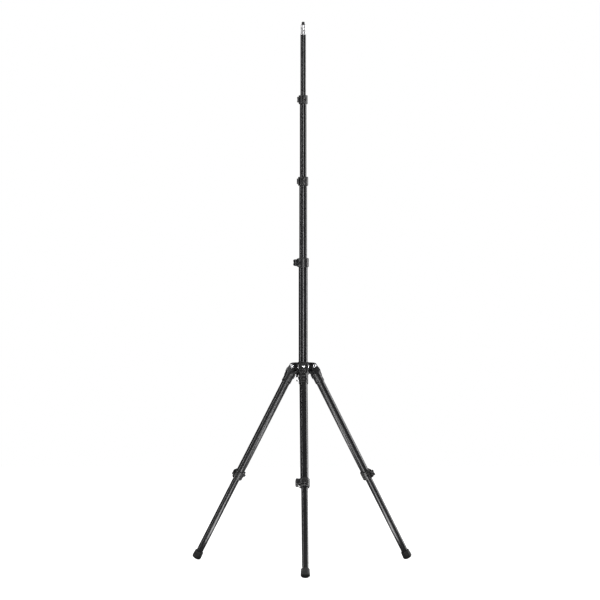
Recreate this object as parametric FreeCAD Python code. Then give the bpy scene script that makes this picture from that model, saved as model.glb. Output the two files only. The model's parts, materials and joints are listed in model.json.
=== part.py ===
import FreeCAD, Part
import math
import os

# Telescoping light stand: a four-section column on a hub with three folding two-section legs.
# Millimetres, +Z up. The origin is on the column's axis, on the floor that the feet stand on.

V = FreeCAD.Vector
X = V(1, 0, 0)
Y = V(0, 1, 0)
Z = V(0, 0, 1)

# ---------------------------------------------------------------- driving dimensions
# Fits
running = 0.05            # radial clearance of a sliding or turning fit
free_gap = 0.3            # clearance between pieces that move past each other

# Tubes
tube_wall = 1.2
column_radius = [9.5, 11.5, 13.5, 15.5]    # outside radii, top section first
leg_upper_radius = 14.0
leg_lower_radius = 11.5

# Column: what shows of each section above its lock, when fully extended
column_show = [207.0, 249.0, 248.5]
column_base_show = 326.5      # base tube between the hub and the lowest lock
column_overlap = 60.0         # a section stays this deep inside the next one
column_base_below = 15.0      # base tube below the hub

# Legs, measured from the hinge axis along the leg
leg_tilt = 30.0               # from the vertical, when spread
leg_fold = 148.5              # swing from spread to folded up beside the column
leg_length = 782.0            # hinge axis to the rounded rim of the foot
leg_lock_at = 443.0           # centre of the leg's lock
leg_overlap = 55.0
leg_azimuths = {"front": -90.0, "right": 30.0, "left": 150.0}

# Hub
hub_wall = 4.0
hub_rise = 13.5               # hub's top above the hinge axis
hub_drop = 30.5               # hub's bottom below it
lug_radius = 11.5
lug_half = 10.0               # half the lug's width
bolt_radius = 4.0
bolt_head_radius = 6.3
bolt_head_height = 3.0
bolt_head_chamfer = 0.8
hub_chamfer = 1.5
rib_inset = 3.0               # the rib under a lug is this much narrower on each side
rib_foot = 3.0                # its foot above the hub's bottom
rib_short = 8.0               # its outer end, in from the hinge axis
screw_radius = 2.5            # grub screws
screw_proud = 0.8
screw_rise = 8.0

# Leg casting
cheek = 6.0
cheek_radius = 11.0
web_at = 12.5                 # solid casting starts here, along the leg
tube_seat_at = 36.0           # the leg tube goes in as far as this
sleeve_end = 66.0
sleeve_wall = 2.2
pad_rise = 0.8                # flat that the angle tab slides on, above the sleeve
pad_half = 7.0
pad_start = 18.0
pad_end = 46.0
pad_round = 1.5
neck_start = 23.0             # the fork's square body runs into the round sleeve from here
neck_length = 16.0
cheek_end = 24.0
heel_half = 5.0
heel_depth = 3.0
heel_start = 26.0
heel_end = 44.0
heel_round = 2.5
sleeve_chamfer = 0.8

# Angle tab
tab_half = 6.0
tab_start = 19.0
tab_length = 14.0
tab_thick = 1.5
tab_ridge_width = 3.5
tab_ridge_proud = 0.7
tab_ridge_round = 0.6
tab_travel = 4.0
pawl_half = 2.0
pawl_start = 14.2
pawl_end = 30.0
pawl_foot = 10.0

# Flip locks
lock_height = 31.0
lock_wall = 3.9
lock_chamfer = 1.6
lock_lip = 1.5
lock_tube_end = 4.0           # the outer tube ends this far past the lock's middle
slit = 2.5
ear_reach = 13.0
ear_half = 8.0
ear_half_height = 11.5
ear_round = 4.0
eye_out = 6.5                 # clamp bolt's axis, out from the collar
eye_radius = 4.0
eye_half_height = 2.5
clamp_radius = 2.5
nut_radius = 4.6
nut_height = 4.5
pin_radius = 1.5
pin_half = 9.0
cam_radius = 5.2
lever_half_height = 9.5
lever_gap = 0.7
lever_thick = 3.6
lever_chamfer = 2.4
lever_join = 50.0             # angles round the tube, from the ears to the lever's tip
lever_tip = 128.0
lock_turns = {"column_1": 264.0, "column_2": 262.0, "column_3": 200.0}

# Bushes on the tubes' inner ends
bush_length = 20.0
bush_cap = 4.0
bush_plug = 12.0

# Spigot, a standard 5/8 in (16 mm) stud with a capped thread
spigot_radius = 8.0
spigot_length = 32.0
spigot_flange_radius = 9.8
spigot_flange = 2.0
spigot_plug = 30.0
groove_depth = 1.5
groove_half = 2.2
groove_at = 11.5              # groove's middle above the flange
thread_radius = 3.1
thread_length = 9.0
cap_radius = 5.3
cap_height = 11.0
cap_skirt_radius = 6.6
cap_skirt = 1.2
cap_round = 3.7

# Feet
foot_radius = 16.0
foot_length = 28.0
foot_floor = 8.0
foot_round = 6.0
foot_top_round = 2.0

# Ring under the hub
ring_azimuth = 210.0
ring_out = 24.0               # the ring's hole, from the column's axis
ring_wire = 1.5
ring_radius = 8.0
ring_lug_half = 4.0
ring_lug_thick = 3.0
ring_lug_drop = 9.0
ring_hole = 2.4
ring_lug_rise = 6.0
cap_flange = 3.0
cap_overhang = 1.0
cap_plug_wall = 2.0
cap_plug = 10.0

# ---------------------------------------------------------------- heights and places
tilt = math.radians(leg_tilt)
foot_lean = foot_round + (foot_radius - foot_round) * math.sin(tilt)
hinge_z = leg_length * math.cos(tilt) + foot_lean
hub_top = hinge_z + hub_rise
hub_bottom = hinge_z - hub_drop
hub_radius = column_radius[3] + hub_wall
pad_top = leg_upper_radius + sleeve_wall + pad_rise
tab_low = pad_top + free_gap
tab_high = tab_low + tab_thick + tab_ridge_proud
# Folded quite parallel to the column, a leg's tab would just touch the base tube.
hinge_radius = column_radius[3] + tab_high

lock_z = [0.0, 0.0, 0.0]      # the middle of each column lock, top one first
lock_z[2] = hub_top + column_base_show + lock_height / 2
lock_z[1] = lock_z[2] + lock_height + column_show[2]
lock_z[0] = lock_z[1] + lock_height + column_show[1]
spigot_base = lock_z[0] + lock_height / 2 + column_show[0]

lower_tube_top = leg_lock_at - leg_overlap
foot_end = leg_length + foot_round
foot_top = foot_end - foot_length


# ---------------------------------------------------------------- helpers
def cylinder(radius, low, high, axis=Z, through=V(0, 0, 0)):
    """A solid cylinder between two distances along an axis through a point."""
    return Part.makeCylinder(radius, high - low, through + axis * low, axis)


def ring(outer, inner, low, high, axis=Z, through=V(0, 0, 0)):
    """A plain tube."""
    wide = cylinder(outer, low, high, axis, through)
    return wide.cut(cylinder(inner, low - 1, high + 1, axis, through))


def block(x0, x1, y0, y1, z0, z1):
    """A box between two corners."""
    return Part.makeBox(x1 - x0, y1 - y0, z1 - z0, V(x0, y0, z0))


def turned(profile, angle=360.0, start=0.0):
    """A solid turned about Z from (radius, height) points."""
    points = [V(r, 0, h) for r, h in profile]
    face = Part.Face(Part.makePolygon(points + points[:1]))
    solid = face.revolve(V(0, 0, 0), Z, angle)
    solid.rotate(V(0, 0, 0), Z, start)
    return solid


def prism(points, half):
    """A solid with an outline in X and Z, as thick as twice half along Y."""
    corners = [V(x, -half, z) for x, z in points]
    face = Part.Face(Part.makePolygon(corners + corners[:1]))
    return face.extrude(Y * 2 * half)


def rounded(solid, radius, wanted):
    """Fillets the edges that wanted picks."""
    edges = [e for e in solid.Edges if wanted(e)]
    return solid.makeFillet(radius, edges)


def round_edges(solid, height):
    """The circular edges whose centre is at a height."""
    return [e for e in solid.Edges if isinstance(e.Curve, Part.Circle) and abs(e.CenterOfMass.z - height) < 0.1]


def runs_along(edge, axis):
    """True for a straight edge parallel to an axis."""
    if not isinstance(edge.Curve, Part.Line):
        return False
    return abs(edge.Curve.Direction.dot(axis)) > 0.999


nodes = {}


def keep(name, shape, placement=None):
    """Names a sub-part and puts it where it belongs."""
    shape = shape.copy()
    if placement is not None:
        shape.transformShape(placement.toMatrix())
    nodes[name] = shape


# ---------------------------------------------------------------- flip lock
# Own frame: the tubes run along Z with the thin one leaving at +Z, the ears point along +X
# and the lever closes round the -Y side. The middle of the collar is at the origin.
def lock_collar(outer, inner):
    """The split collar with its two ears."""
    wide = outer + lock_wall
    half = lock_height / 2
    flat = half - lock_chamfer
    body = turned([(0, -half), (wide - lock_chamfer, -half), (wide, -flat),
                   (wide, flat), (wide - lock_chamfer, half), (0, half)])
    ears = prism([(wide - lock_wall, -flat), (wide + 1, -flat), (wide + 4, -ear_half_height),
                  (wide + ear_reach, -ear_half_height), (wide + ear_reach, ear_half_height),
                  (wide + 4, ear_half_height), (wide + 1, flat), (wide - lock_wall, flat)], ear_half)
    ears = rounded(ears, ear_round, lambda e: runs_along(e, Y) and e.CenterOfMass.x > wide + ear_reach - 1)
    body = body.fuse(ears)
    body = body.cut(cylinder(outer, -half - 1, half - lock_lip))
    body = body.cut(cylinder(inner + free_gap, 0, half + 1))
    body = body.cut(block(0, wide + ear_reach + 1, -slit / 2, slit / 2, -half - 1, half + 1))
    bolt_hole = cylinder(clamp_radius + free_gap, -ear_half - 1, ear_half + 1, Y, V(wide + eye_out, 0, 0))
    return body.cut(bolt_hole).removeSplitter()


def lock_liner(outer, inner):
    """The split sleeve that grips the thin tube."""
    sleeve = ring(outer, inner + running, lock_tube_end, lock_height / 2 - lock_lip)
    return sleeve.cut(block(0, outer + 1, -slit / 2, slit / 2, 0, lock_height))


def lock_pivot(outer):
    """Where the lever's pin stands."""
    return V(outer + lock_wall + eye_out, -ear_half - cam_radius - free_gap, 0)


def lock_eyebolt(outer):
    """The clamp bolt, its nut and the pin through its eye, which the lever turns on."""
    pivot = lock_pivot(outer)
    foot = V(pivot.x, 0, 0)
    shank = cylinder(clamp_radius, pivot.y + pin_radius, ear_half + nut_height + 1, Y, foot)
    eye = cylinder(eye_radius, -eye_half_height, eye_half_height, Z, pivot)
    bolt = shank.fuse(eye).cut(cylinder(pin_radius, -eye_half_height - 1, eye_half_height + 1, Z, pivot))
    nut = ring(nut_radius, clamp_radius, ear_half, ear_half + nut_height, Y, foot)
    pin = cylinder(pin_radius, -pin_half, pin_half, Z, pivot)
    return Part.makeCompound([bolt.removeSplitter(), nut, pin])


def lock_lever(outer):
    """The cam lever, closed round the collar."""
    pivot = lock_pivot(outer)
    near = outer + lock_wall + lever_gap
    far = near + lever_thick
    high = lever_half_height
    low = high - lever_chamfer
    arm = turned([(near, -high), (far - lever_chamfer / 2, -high), (far, -low),
                  (far, low), (far - lever_chamfer / 2, high), (near, high)],
                 lever_tip - lever_join, -lever_tip)
    boss = cylinder(cam_radius, -high, high, Z, pivot)
    joint = math.radians(-lever_join)
    middle = (near + far) / 2
    meet = V(middle * math.cos(joint), middle * math.sin(joint), 0)
    along = meet - pivot
    side = V(-along.y, along.x, 0).normalize() * (lever_thick / 2)
    over = along.normalize() * 1.5
    corners = [pivot + side, meet + over + side, meet + over - side, pivot - side]
    corners = [c + V(0, 0, -high) for c in corners]
    bar = Part.Face(Part.makePolygon(corners + corners[:1])).extrude(Z * 2 * high)
    bar = bar.cut(cylinder(near, -high - 1, high + 1))
    tip = math.radians(-lever_tip)
    thumb_axis = V(math.cos(tip), math.sin(tip), 0) * (far - 0.6)
    thumb = cylinder(1.8, -low, low, Z, thumb_axis)
    lever = arm.fuse([boss, bar, thumb])
    lever = lever.cut(cylinder(pin_radius + running, -high - 1, high + 1, Z, pivot))
    slot_half = eye_half_height + free_gap
    slot = cylinder(cam_radius + 3, -slot_half, slot_half, Z, pivot)
    slot = slot.common(block(pivot.x - eye_radius - 1, pivot.x + cam_radius + 3,
                             pivot.y - eye_radius - 1, pivot.y + cam_radius + 3, -high, high))
    return lever.cut(slot).removeSplitter()


def keep_lock(name, outer, inner, placement, end=""):
    """All the pieces of one lock."""
    keep(name + "_collar" + end, lock_collar(outer, inner), placement)
    keep(name + "_liner" + end, lock_liner(outer, inner), placement)
    keep(name + "_eyebolt" + end, lock_eyebolt(outer), placement)
    keep(name + "_lever" + end, lock_lever(outer), placement)


def tube_bush(radius):
    """The nylon bush on a tube's inner end: Z runs into the tube from its end."""
    outside = radius - tube_wall + (column_radius[1] - column_radius[0])
    inside = radius - tube_wall
    return turned([(0, -bush_cap), (outside - running, -bush_cap), (outside - running, bush_length),
                   (radius, bush_length), (radius, 0), (inside, 0), (inside, bush_plug), (0, bush_plug)])


# ---------------------------------------------------------------- column
tube_ends = [
    (lock_z[0] - lock_height / 2 - column_overlap, spigot_base),
    (lock_z[1] - lock_height / 2 - column_overlap, lock_z[0] + lock_tube_end),
    (lock_z[2] - lock_height / 2 - column_overlap, lock_z[1] + lock_tube_end),
    (hub_bottom - column_base_below, lock_z[2] + lock_tube_end),
]
for number in range(4):
    low, high = tube_ends[number]
    radius = column_radius[number]
    keep(f"column_tube_{number + 1}", ring(radius, radius - tube_wall, low, high))

for number in range(3):
    bush_place = FreeCAD.Placement(Z * tube_ends[number][0], FreeCAD.Rotation())
    keep(f"column_bush_{number + 1}", tube_bush(column_radius[number]), bush_place)
    turn = FreeCAD.Rotation(Z, lock_turns[f"column_{number + 1}"])
    place = FreeCAD.Placement(Z * lock_z[number], turn)
    keep_lock("column", column_radius[number + 1], column_radius[number], place, f"_{number + 1}")

base_end = tube_ends[3][0]
base_inside = column_radius[3] - tube_wall
end_cap = cylinder(column_radius[3] + cap_overhang, base_end - cap_flange, base_end)
end_cap = end_cap.fuse(ring(base_inside, base_inside - cap_plug_wall, base_end, base_end + cap_plug))
keep("column_end_cap", end_cap)

# ---------------------------------------------------------------- spigot and its cap
bottom = spigot_base
groove = bottom + spigot_flange + groove_at
top = bottom + spigot_flange + spigot_length
waist = spigot_radius - groove_depth
stud = turned([(0, bottom - spigot_plug), (column_radius[0] - tube_wall, bottom - spigot_plug),
               (column_radius[0] - tube_wall, bottom), (spigot_flange_radius, bottom),
               (spigot_flange_radius, bottom + spigot_flange), (spigot_radius, bottom + spigot_flange),
               (spigot_radius, groove - groove_half), (waist, groove - groove_half + groove_depth),
               (waist, groove + groove_half - groove_depth), (spigot_radius, groove + groove_half),
               (spigot_radius, top - 1), (spigot_radius - 1, top), (thread_radius, top),
               (thread_radius, top + thread_length), (0, top + thread_length)])
keep("spigot", stud)

cap_body = cylinder(cap_radius, top + free_gap, top + cap_height)
cap_body = cap_body.makeFillet(cap_round, round_edges(cap_body, top + cap_height))
skirt = cylinder(cap_skirt_radius, top + free_gap, top + free_gap + cap_skirt)
cap_body = cap_body.fuse(skirt)
cap_body = cap_body.cut(cylinder(thread_radius + running, top - 1, top + thread_length + free_gap))
keep("spigot_cap", cap_body.removeSplitter())

# ---------------------------------------------------------------- hub
hub = cylinder(hub_radius, hub_bottom, hub_top)
hub = hub.makeChamfer(hub_chamfer, [e for e in hub.Edges if isinstance(e.Curve, Part.Circle)])
bolts = []
for azimuth in leg_azimuths.values():
    # Along X first, then turned to the leg.
    arm = block(0, hinge_radius, -lug_half, lug_half, hinge_z - lug_radius, hinge_z + lug_radius)
    arm = arm.fuse(cylinder(lug_radius, -lug_half, lug_half, Y, V(hinge_radius, 0, hinge_z)))
    rib_z = hub_bottom + rib_foot
    rib = prism([(0, rib_z), (hub_radius, rib_z), (hinge_radius - rib_short, hinge_z - lug_radius),
                 (0, hinge_z - lug_radius)], lug_half - rib_inset)
    arm = arm.fuse(rib)
    arm = arm.cut(cylinder(bolt_radius, -lug_half - 1, lug_half + 1, Y, V(hinge_radius, 0, hinge_z)))
    arm.rotate(V(0, 0, 0), Z, azimuth)
    hub = hub.fuse(arm)
    outside = lug_half + free_gap + cheek + free_gap
    centre = V(hinge_radius, 0, hinge_z)
    bolt = cylinder(bolt_radius, -outside, outside, Y, centre)
    for way in (-1, 1):
        head = cylinder(bolt_head_radius, outside, outside + bolt_head_height, Y * way, centre)
        rim = [e for e in head.Edges if abs(e.CenterOfMass.y) > outside + bolt_head_height / 2]
        head = head.makeChamfer(bolt_head_chamfer, [e for e in rim if isinstance(e.Curve, Part.Circle)])
        bolt = bolt.fuse(head)
    bolt = bolt.removeSplitter()
    bolt.rotate(V(0, 0, 0), Z, azimuth)
    bolts.append(bolt)
ring_hole_z = hub_bottom - ring_lug_drop + ring_lug_half
lug_top = hub_bottom + ring_lug_rise
lug = block(0, ring_out, -ring_lug_thick / 2, ring_lug_thick / 2, ring_hole_z + ring_lug_half, lug_top)
lug = lug.fuse(block(ring_out - ring_lug_half, ring_out + ring_lug_half, -ring_lug_thick / 2,
                     ring_lug_thick / 2, ring_hole_z, lug_top))
ring_eye = V(ring_out, 0, ring_hole_z)
lug = lug.fuse(cylinder(ring_lug_half, -ring_lug_thick / 2, ring_lug_thick / 2, Y, ring_eye))
lug = lug.cut(cylinder(ring_hole, -ring_lug_thick, ring_lug_thick, Y, ring_eye))
lug.rotate(V(0, 0, 0), Z, ring_azimuth)
hub = hub.fuse(lug)
hub = hub.cut(cylinder(column_radius[3], hub_bottom - 10, hub_top + 1))
keep("hub", hub.removeSplitter())
keep("hinge_bolts", Part.makeCompound(bolts))

screws = []
for azimuth in leg_azimuths.values():
    # Grub screws that hold the hub on the base tube, between the legs.
    centre = V(0, 0, hub_bottom + screw_rise)
    screw = cylinder(screw_radius, column_radius[3], hub_radius + screw_proud, X, centre)
    screw.rotate(V(0, 0, 0), Z, azimuth + 60)
    screws.append(screw)
grub_screws = Part.makeCompound(screws)
for screw in screws:
    nodes["hub"] = nodes["hub"].cut(screw)
keep("hub_grub_screws", grub_screws)

hook = Part.makeTorus(ring_radius, ring_wire, V(ring_out, 0, ring_hole_z - ring_radius), X)
hook.rotate(V(0, 0, 0), Z, ring_azimuth)
keep("hook_ring", hook)


# ---------------------------------------------------------------- legs
# Own frame: the hinge axis is Y through the origin, Z runs down the leg, X points to the
# leg's outer, upper side.
def leg_casting():
    """The casting that straddles the hub's lug and holds the leg tube."""
    inner = lug_half + free_gap
    outer = inner + cheek
    sleeve = leg_upper_radius + sleeve_wall
    cheeks = prism([(-cheek_radius, 0), (cheek_radius, 0), (sleeve - 1, cheek_end),
                    (-sleeve + 1, cheek_end)], outer)
    cheeks = cheeks.fuse(cylinder(cheek_radius, -outer, outer, Y))
    cheeks = cheeks.cut(block(-sleeve - 1, sleeve + 1, -inner, inner, -cheek_radius - 1, web_at))
    body = cylinder(sleeve, web_at, sleeve_end)
    body = body.makeChamfer(sleeve_chamfer, round_edges(body, sleeve_end))
    neck = Part.makeCone(outer, sleeve, neck_length, V(0, 0, neck_start), Z)
    neck = neck.common(block(-sleeve, sleeve, -outer, outer, 0, sleeve_end))
    pad = block(0, pad_top, -pad_half, pad_half, pad_start, pad_end)
    pad = rounded(pad, pad_round, lambda e: runs_along(e, Y) and e.CenterOfMass.x > pad_top - 1)
    heel = block(-sleeve - heel_depth, 0, -heel_half, heel_half, heel_start, heel_end)
    heel = rounded(heel, heel_round, lambda e: runs_along(e, Y) and e.CenterOfMass.x < -sleeve - 2)
    casting = cheeks.fuse([body, neck, pad, heel])
    casting = casting.cut(cylinder(leg_upper_radius, tube_seat_at, sleeve_end + 1))
    casting = casting.cut(block(pawl_foot - free_gap, pad_top + 1, -pawl_half - free_gap, pawl_half + free_gap,
                                0, pawl_end + tab_travel + free_gap))
    casting = casting.cut(cylinder(bolt_radius + running, -outer - 1, outer + 1, Y))
    return casting.removeSplitter()


def angle_tab():
    """The sprung tab with the pawl that locks the leg's angle."""
    plate_top = tab_low + tab_thick
    plate = block(tab_low, plate_top, -tab_half, tab_half, tab_start, tab_start + tab_length)
    ridge = block(tab_low, tab_high, -tab_half, tab_half, tab_start, tab_start + tab_ridge_width)
    ridge = rounded(ridge, tab_ridge_round, lambda e: runs_along(e, Y) and e.CenterOfMass.x > plate_top)
    pawl = block(pawl_foot, tab_low + 1, -pawl_half, pawl_half, pawl_start, pawl_end)
    return plate.fuse([ridge, pawl]).removeSplitter()


def leg_foot():
    """The rubber cup foot."""
    outer = cylinder(foot_radius, foot_top, foot_end)
    outer = outer.makeFillet(foot_round, round_edges(outer, foot_end))
    outer = outer.makeFillet(foot_top_round, round_edges(outer, foot_top))
    return outer.cut(cylinder(leg_lower_radius, foot_top - 1, foot_end - foot_floor))


casting = leg_casting()
tab = angle_tab()
foot = leg_foot()
upper_tube = ring(leg_upper_radius, leg_upper_radius - tube_wall, tube_seat_at, leg_lock_at + lock_tube_end)
lower_tube = ring(leg_lower_radius, leg_lower_radius - tube_wall, lower_tube_top, foot_end - foot_floor)

for name, azimuth in leg_azimuths.items():
    lean = FreeCAD.Rotation(Y, 180.0 - leg_tilt)
    aim = FreeCAD.Rotation(Z, azimuth).multiply(lean)
    # The lean turns Z to the leg's way down and X to its upper side.
    flip = FreeCAD.Rotation(Z, 180.0)
    aim = aim.multiply(flip)
    hinge = FreeCAD.Rotation(Z, azimuth).multVec(V(hinge_radius, 0, hinge_z))
    place = FreeCAD.Placement(hinge, aim)
    keep(f"leg_casting_{name}", casting, place)
    keep(f"leg_angle_tab_{name}", tab, place)
    keep(f"leg_tube_upper_{name}", upper_tube, place)
    keep(f"leg_tube_lower_{name}", lower_tube, place)
    keep(f"leg_foot_{name}", foot, place)
    bush_place = place.multiply(FreeCAD.Placement(Z * lower_tube_top, FreeCAD.Rotation()))
    keep(f"leg_bush_{name}", tube_bush(leg_lower_radius), bush_place)
    lock_place = place.multiply(FreeCAD.Placement(Z * leg_lock_at, FreeCAD.Rotation(Z, 90.0)))
    keep_lock("leg", leg_upper_radius, leg_lower_radius, lock_place, f"_{name}")

# ---------------------------------------------------------------- files
os.makedirs("parts", exist_ok=True)
for name, shape in nodes.items():
    if not shape.isValid():
        print("not valid:", name)
    shape.exportStep(f"parts/{name}.step")
print(len(nodes), "nodes; hinge axis at", round(hinge_z, 2), "top", round(top + cap_height, 2))
print("locks", [round(z, 2) for z in lock_z], "leg locks at", leg_lock_at)
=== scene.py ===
# %% [markdown]
# # A telescoping light stand
# The stand is a column of four tubes on a hub, with three folding legs of two tubes each. The packed
# model already holds every piece at its true size, so this lesson only gives each piece the surface
# that a maker would give it: rolled tube ends, moulded locks with ribbed levers, cast leg brackets,
# cup feet and a turned spigot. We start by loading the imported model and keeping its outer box.

# %% Load the frame
import json
import math
import bpy
import numpy as np
from mathutils import Matrix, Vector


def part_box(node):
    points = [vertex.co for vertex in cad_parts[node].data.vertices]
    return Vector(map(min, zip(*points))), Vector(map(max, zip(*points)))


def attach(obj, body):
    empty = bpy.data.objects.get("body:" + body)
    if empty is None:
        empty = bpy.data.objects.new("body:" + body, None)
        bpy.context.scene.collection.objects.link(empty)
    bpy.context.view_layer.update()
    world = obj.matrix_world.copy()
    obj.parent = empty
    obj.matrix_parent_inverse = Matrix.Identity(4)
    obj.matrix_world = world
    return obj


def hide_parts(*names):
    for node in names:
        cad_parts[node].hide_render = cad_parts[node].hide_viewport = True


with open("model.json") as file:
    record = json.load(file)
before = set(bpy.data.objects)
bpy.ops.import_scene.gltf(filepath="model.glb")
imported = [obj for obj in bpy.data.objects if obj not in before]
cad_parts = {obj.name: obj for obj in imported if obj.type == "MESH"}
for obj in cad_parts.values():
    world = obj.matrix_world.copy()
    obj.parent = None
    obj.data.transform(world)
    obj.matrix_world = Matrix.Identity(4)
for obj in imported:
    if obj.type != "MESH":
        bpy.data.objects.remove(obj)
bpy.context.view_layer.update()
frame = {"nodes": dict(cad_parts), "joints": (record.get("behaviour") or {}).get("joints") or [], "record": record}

mm = 0.001
record = frame["record"]
joints = {j["name"]: j for j in frame["joints"]}

# %% [markdown]
# A stand is all straight axes, so each piece is easiest to shape in its own small frame: Z along the
# tube, X towards the side that matters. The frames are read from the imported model's joints, so that
# no place is typed twice. A frame is a pair: where it stands, and its three axes as rows.

# %% Frames for the column and the legs
def unit(v):
    """The vector divided by its own length."""
    v = np.asarray(v, float)
    return v / np.linalg.norm(v)


def node_points(node):
    """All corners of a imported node, one row each."""
    mesh = frame["nodes"][node].data
    flat = np.zeros(len(mesh.vertices) * 3)
    mesh.vertices.foreach_get("co", flat)
    return flat.reshape(-1, 3)


def in_frame(points, place):
    """World points seen from a frame: the step from its origin, dotted with each axis."""
    origin, axes = place
    return (points - origin) @ axes.T


def to_world(points, place):
    """Frame points back in the world: the origin plus each coordinate times its axis."""
    origin, axes = place
    return origin + points @ axes


def leg_frame(name):
    """Origin on the hinge, Z down the leg, Y along the hinge, X to the leg's upper side."""
    fold = joints[f"leg_fold_{name}"]
    down = -unit(joints[f"leg_slide_{name}"]["axis"])
    along = unit(fold["axis"])
    return np.array(fold["pos_m"]), np.array([np.cross(along, down), along, down])


column = (np.zeros(3), np.eye(3))
legs = {name: leg_frame(name) for name in ("front", "right", "left")}
hinge_height = legs["front"][0][2]


def lock_frame(collar, tube_place, flip=1.0):
    """Origin in the collar's middle, Z towards the thin tube, X out through the two ears.
    The ears are the collar's furthest corners from the tube's axis."""
    local = in_frame(node_points(collar), tube_place)
    middle = (local[:, 2].min() + local[:, 2].max()) / 2
    reach = np.hypot(local[:, 0], local[:, 1])
    ears = local[reach > reach.max() - 1 * mm]
    out = unit([ears[:, 0].mean(), ears[:, 1].mean(), 0])
    origin, axes = tube_place
    x = out @ axes
    z = axes[2] * flip
    return origin + axes[2] * middle, np.array([x, np.cross(z, x), z])


print("hinge height", round(hinge_height, 4), "m; leg lean",
      round(math.degrees(math.acos(-legs["front"][1][2][2])), 2), "degrees")

# %% [markdown]
# Every new piece is a surface worked out with arrays: a grid of points whose rows are sections and
# whose columns run round each section. Neighbouring rows are joined with four-sided faces, and an
# open run of sections gets a fan at each end, so the skin is always closed. The sign of the enclosed
# volume tells whether the faces point outwards, and a negative one is turned round.

# %% Skins from grids of points
def skin(points, ring=False):
    """Joins rows of a (rows, columns, 3) grid. Each row is a closed loop. A ring also joins the last
    row to the first; otherwise both end rows are closed with a fan to their middle.
    Returns corners, faces and, for each face corner, metres round and metres along."""
    rows, cols = points.shape[:2]
    index = np.arange(rows * cols).reshape(rows, cols)
    here = index if ring else index[:-1]
    there = np.roll(index, -1, axis=0) if ring else index[1:]
    quads = np.stack([here, np.roll(here, -1, 1), np.roll(there, -1, 1), there], -1).reshape(-1, 4)
    step_round = np.linalg.norm(np.roll(points, -1, 1) - points, axis=2).mean(0)
    step_along = np.linalg.norm(np.roll(points, -1, 0) - points, axis=2).mean(1)
    u = np.concatenate([[0], np.cumsum(step_round)])
    v = np.concatenate([[0], np.cumsum(step_along)])
    i, j = np.meshgrid(np.arange(len(here)), np.arange(cols), indexing="ij")
    corner_u = np.stack([u[j], u[j + 1], u[j + 1], u[j]], -1).reshape(-1, 4)
    corner_v = np.stack([v[i], v[i], v[i + 1], v[i + 1]], -1).reshape(-1, 4)
    uv = np.stack([corner_u, corner_v], -1)
    corners = points.reshape(-1, 3)
    faces = quads.tolist()
    uvs = uv.reshape(-1, 2)
    if not ring:
        ends = np.array([points[0].mean(0), points[-1].mean(0)])
        corners = np.vstack([corners, ends])
        first, last = rows * cols, rows * cols + 1
        loop = np.arange(cols)
        after = np.roll(loop, -1)
        start = np.stack([np.full(cols, first), after, loop], -1)
        base = (rows - 1) * cols
        finish = np.stack([np.full(cols, last), base + loop, base + after], -1)
        fans = np.vstack([start, finish])
        faces = faces + fans.tolist()
        uvs = np.vstack([uvs, corners[fans.reshape(-1)][:, :2]])
    a, b, c = points_of(corners, quads)
    volume = np.einsum("ij,ij->i", a, np.cross(b, c)).sum()
    return corners, faces, uvs, volume


def points_of(corners, quads):
    """The two triangles of every quad, as three arrays of corners taken about the grid's middle."""
    centred = corners - corners.mean(0)
    tri = np.vstack([quads[:, [0, 1, 2]], quads[:, [0, 2, 3]]])
    return centred[tri[:, 0]], centred[tri[:, 1]], centred[tri[:, 2]]


def piece(name, grids, place, body, nodes, material, sharp=35.0):
    """One finished piece from one or more (grid, ring) skins in a frame. It rides on its body, stands
    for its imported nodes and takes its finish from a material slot."""
    corners, faces, uvs, start = [], [], [], 0
    for grid, ring in grids:
        co, fa, uv, volume = skin(grid, ring)
        if volume < 0:
            co, fa, uv, volume = skin(grid[:, ::-1], ring)
        corners.append(to_world(co, place))
        faces += [[k + start for k in f] for f in fa]
        uvs.append(uv)
        start += len(co)
    mesh = bpy.data.meshes.new(name)
    mesh.from_pydata(np.vstack(corners).tolist(), [], faces)
    layer = mesh.uv_layers.new(name="surface")
    layer.data.foreach_set("uv", np.vstack(uvs).astype(np.float32).ravel())
    mesh.polygons.foreach_set("use_smooth", np.ones(len(faces), bool))
    mesh.set_sharp_from_angle(angle=math.radians(sharp))
    mesh.materials.append(material)
    mesh.validate()
    obj = bpy.data.objects.new(name, mesh)
    bpy.context.scene.collection.objects.link(obj)
    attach(obj, body)
    if nodes:
        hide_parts(*nodes)
    return obj


# %% [markdown]
# Real pieces have no knife edges: a tube's end is rolled, a moulding is rounded and a turned part has
# its corners broken. So outlines are written with plain corners and then softened, which swaps each
# corner for a short curve. Three ways of carrying an outline make almost every piece: turning it
# about an axis, stacking copies of it into a slab, and sliding it along a path.

# %% Outlines and how they are carried
def soften(outline, radius, steps=5, closed=True):
    """Swaps each corner of a polyline for a curve that leaves and meets its sides radius away, or at
    under half the side: (1-t)^2 times the start, 2t(1-t) times the corner, t^2 times the end."""
    p = np.asarray(outline, float)
    before, after = np.roll(p, 1, 0), np.roll(p, -1, 0)
    radius = np.broadcast_to(np.asarray(radius, float), len(p))[:, None]

    def towards(q):
        gap = q - p
        length = np.linalg.norm(gap, axis=1, keepdims=True) + 1e-12
        return p + gap / length * np.minimum(radius, 0.45 * length)

    start, end = towards(before)[:, None], towards(after)[:, None]
    t = np.linspace(0, 1, steps)[None, :, None]
    curve = (1 - t) ** 2 * start + 2 * t * (1 - t) * p[:, None] + t ** 2 * end
    if closed:
        return curve.reshape(-1, p.shape[1])
    return np.vstack([p[:1], curve[1:-1].reshape(-1, p.shape[1]), p[-1:]])


def turned(profile, segments=64):
    """A solid turned about Z: a point at radius r and height z goes to r cos a, r sin a, z."""
    p = np.asarray(profile, float)
    a = np.linspace(0, 2 * np.pi, segments, endpoint=False)
    r, z = p[:, :1], p[:, 1:]
    return np.stack([r * np.cos(a), r * np.sin(a), z + 0 * a], -1), False


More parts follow.
